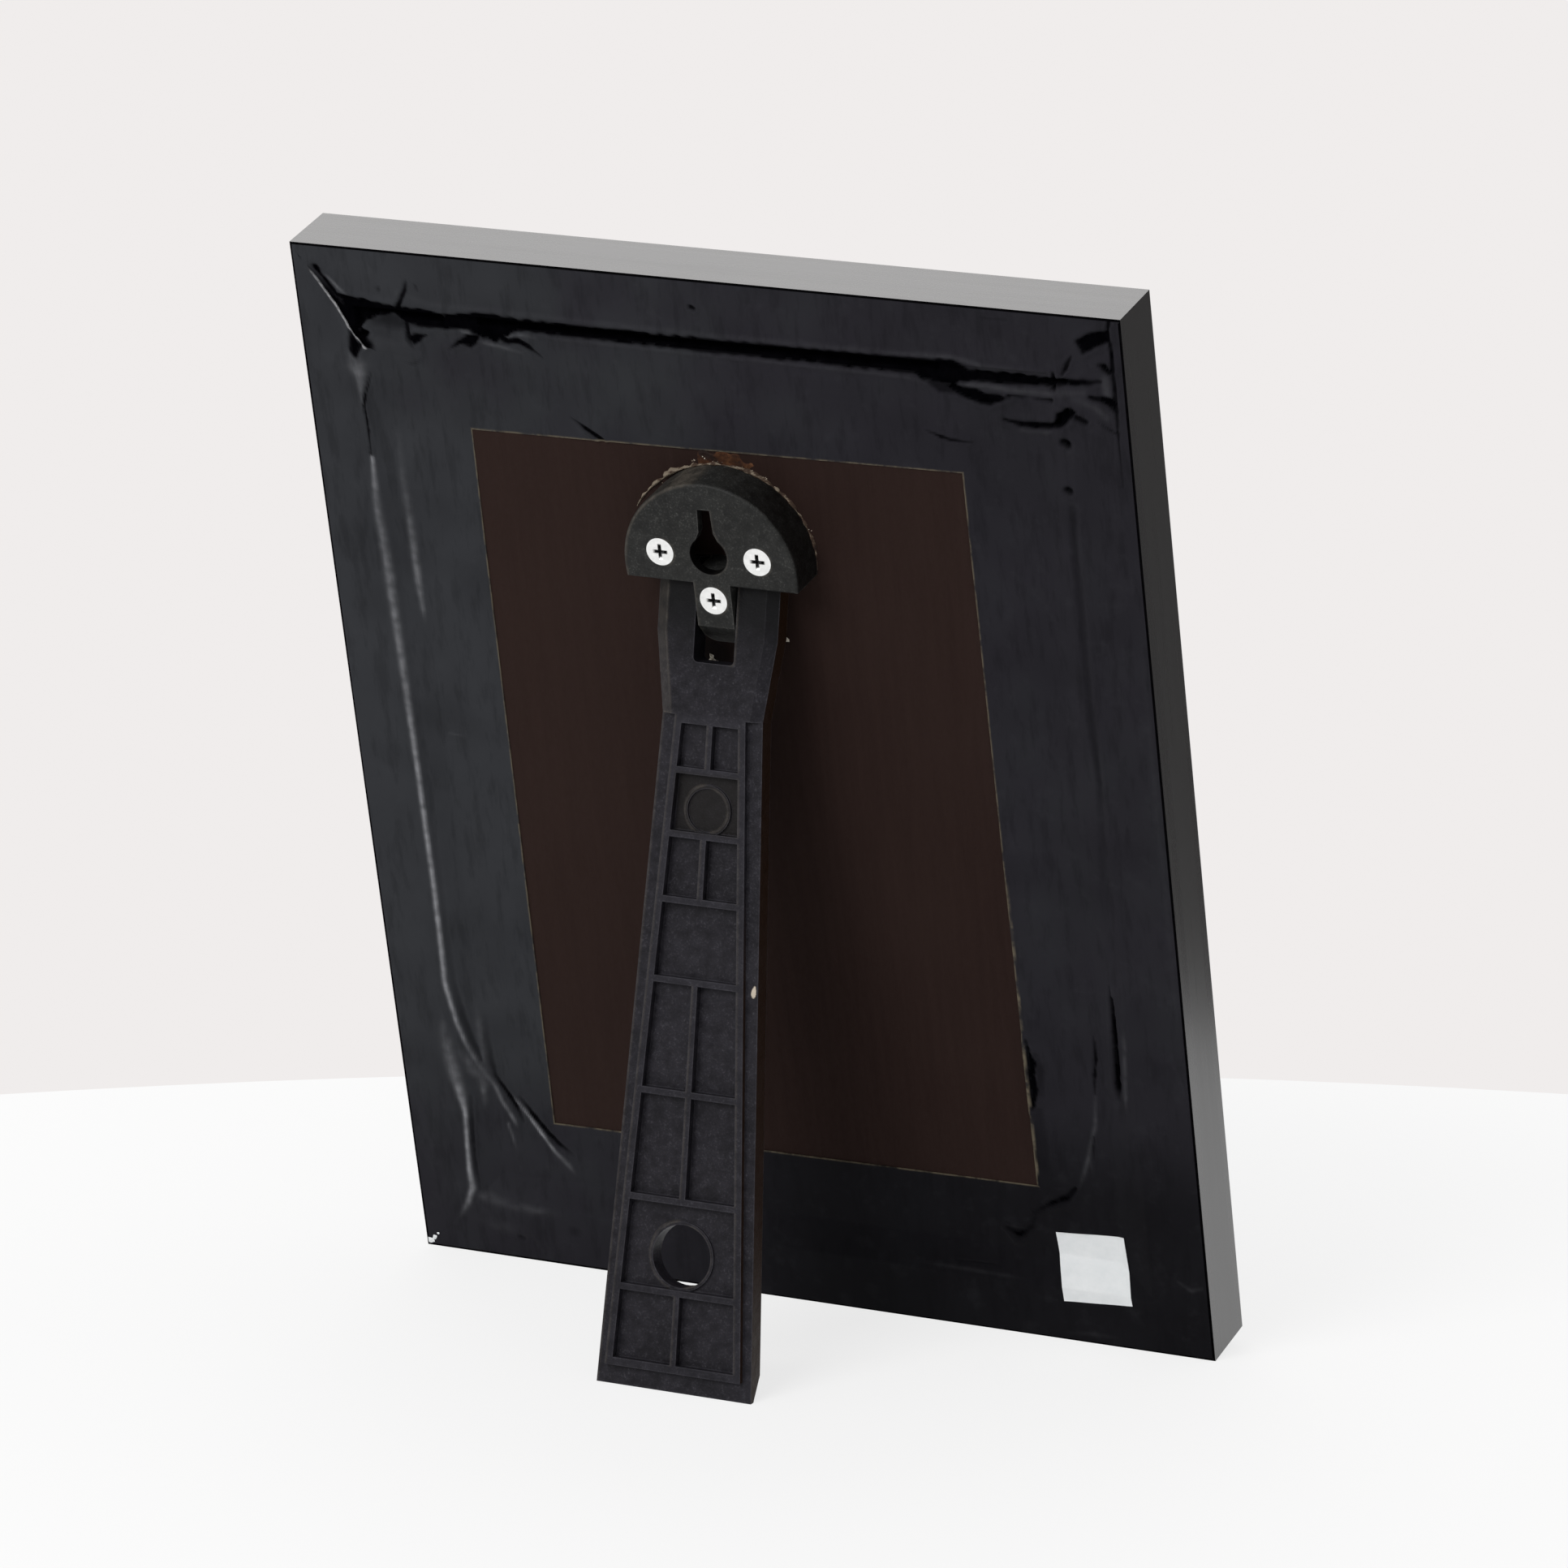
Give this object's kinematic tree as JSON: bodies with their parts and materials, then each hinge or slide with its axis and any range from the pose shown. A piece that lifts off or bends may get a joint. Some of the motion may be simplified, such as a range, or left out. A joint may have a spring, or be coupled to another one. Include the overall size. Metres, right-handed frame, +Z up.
{
  "type": "easel back photo frame",
  "caption": "Black tabletop photo frame with taped hardboard back, half-round keyhole hinge bracket and ribbed fold-out easel leg.",
  "frame": {"origin": "centre of the footprint on the table, at the bottom of the bounding box, with the frame standing on its leg", "axes": "+Z up; the picture faces -Y and leans back; the support leg stands out towards +Y; +X to the right of a person who faces the picture"},
  "size_m": [0.18, 0.0802, 0.2278],
  "materials": {
    "moulding": "satin black lacquer with fine lengthwise brushing",
    "sealing_tape": "semi-matt black sealing tape, creased",
    "fastener_steel": "bare steel",
    "clear_glass": "polished float glass",
    "insert_paper": "plain matt paper",
    "greyboard": "plain greyboard",
    "hardboard": "dark brown pressed hardboard",
    "label_paper": "white self-adhesive paper",
    "bracket_plastic": "finely textured dark grey moulded plastic",
    "leg_plastic": "finely grained black moulded plastic",
    "zinc_screw": "bright zinc plate"
  },
  "bodies": {
    "frame": {"rail_bottom": "moulding", "rail_top": "moulding", "rail_left": "moulding", "rail_right": "moulding", "tape_bottom": "sealing_tape", "tape_top": "sealing_tape", "tape_left": "sealing_tape", "tape_right": "sealing_tape", "framer_points_bottom": "fastener_steel", "framer_points_top": "fastener_steel", "framer_points_left": "fastener_steel", "framer_points_right": "fastener_steel", "corner_nails_bottom_left": "fastener_steel", "corner_nails_bottom_right": "fastener_steel", "corner_nails_top_left": "fastener_steel", "corner_nails_top_right": "fastener_steel", "glazing": "clear_glass", "photo_insert": "insert_paper", "filler_card": "greyboard", "back_board": "hardboard", "blank_label": "label_paper", "hinge_bracket": "bracket_plastic", "bracket_screw_left": "zinc_screw", "bracket_screw_right": "zinc_screw", "tongue_screw": "zinc_screw"},
    "leg": {"support_leg": "leg_plastic"}
  },
  "joints": [
    {"name": "leg_hinge", "type": "hinge", "parent": "frame", "child": "leg", "pos_m": [0, 0.01553, 0.16432], "axis": [1, 0, 0], "range_deg": [-20.8, 0]}
  ]
}
